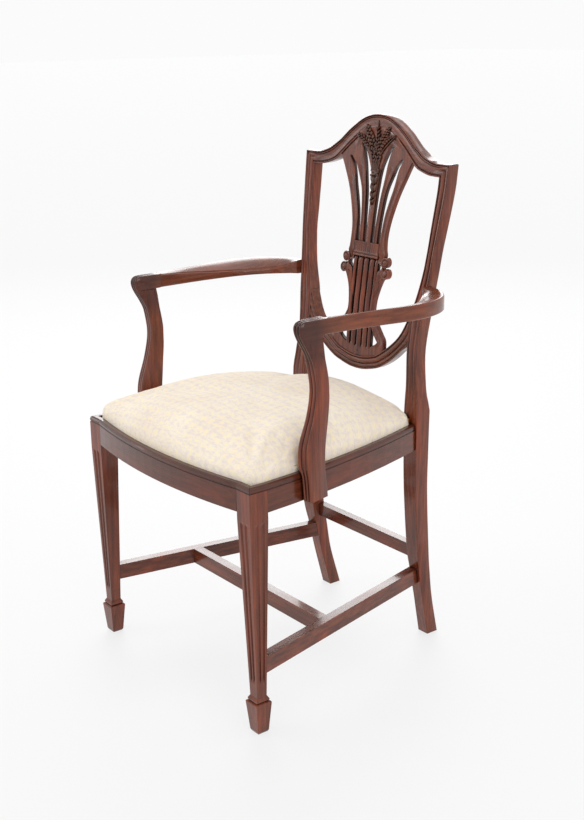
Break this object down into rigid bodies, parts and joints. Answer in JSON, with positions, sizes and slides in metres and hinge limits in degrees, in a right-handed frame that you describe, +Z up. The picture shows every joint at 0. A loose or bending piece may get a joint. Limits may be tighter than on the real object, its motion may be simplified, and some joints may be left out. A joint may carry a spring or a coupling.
{
  "type": "shield back chair",
  "caption": "Armchair with a pierced shield-shaped back, shaped arms, a drop-in cushioned seat, fluted spade-foot legs and low stretchers, for sitting at a table.",
  "frame": {"origin": "on the floor, below the centre of the chair's bounding box", "axes": "+Z up; -Y the way the sitter faces; +X towards the sitter's left hand"},
  "size_m": [0.546, 0.5232, 0.958],
  "materials": {
    "mahogany": "polished, worn lighter on the edges",
    "beech": "bare, planed",
    "seat_fabric": "woven with a small check",
    "padding": "felted",
    "webbing": "coarse herringbone weave",
    "dust_cloth": "thin plain weave",
    "screw_steel": "dull"
  },
  "bodies": {
    "chair_frame": {"rear_leg_left": "mahogany", "rear_leg_right": "mahogany", "front_leg_left": "mahogany", "front_leg_right": "mahogany", "front_seat_rail": "mahogany", "side_seat_rail_left": "mahogany", "side_seat_rail_right": "mahogany", "rear_seat_rail": "mahogany", "front_moulding": "mahogany", "side_moulding_left": "mahogany", "side_moulding_right": "mahogany", "side_stretcher_left": "mahogany", "side_stretcher_right": "mahogany", "cross_stretcher": "mahogany", "rear_stretcher": "mahogany", "crest_rail": "mahogany", "shield_bottom_rail": "mahogany", "splat": "mahogany", "arm_left": "mahogany", "arm_right": "mahogany", "arm_support_left": "mahogany", "arm_support_right": "mahogany", "front_corner_block_left": "beech", "front_corner_block_right": "beech", "rear_corner_block_left": "beech", "rear_corner_block_right": "beech", "front_block_screw_front_left": "screw_steel", "front_block_screw_front_right": "screw_steel", "front_block_screw_side_left": "screw_steel", "front_block_screw_side_right": "screw_steel", "rear_block_screw_rear_left": "screw_steel", "rear_block_screw_rear_right": "screw_steel", "rear_block_screw_side_left": "screw_steel", "rear_block_screw_side_right": "screw_steel", "upper_support_screw_left": "screw_steel", "upper_support_screw_right": "screw_steel", "lower_support_screw_left": "screw_steel", "lower_support_screw_right": "screw_steel", "arm_screw_left": "screw_steel", "arm_screw_right": "screw_steel"},
    "drop_in_seat": {"seat_front_bar": "beech", "seat_rear_bar": "beech", "seat_side_bar_left": "beech", "seat_side_bar_right": "beech", "long_strap_left": "webbing", "long_strap_middle": "webbing", "long_strap_right": "webbing", "cross_strap_front": "webbing", "cross_strap_middle": "webbing", "cross_strap_rear": "webbing", "seat_pad": "padding", "seat_cover": "seat_fabric", "dust_cover": "dust_cloth"}
  },
  "joints": [
    {"name": "seat_lift", "type": "slide", "parent": "chair_frame", "child": "drop_in_seat", "axis": [0, 0, 1], "range_m": [0, 0.25]}
  ]
}
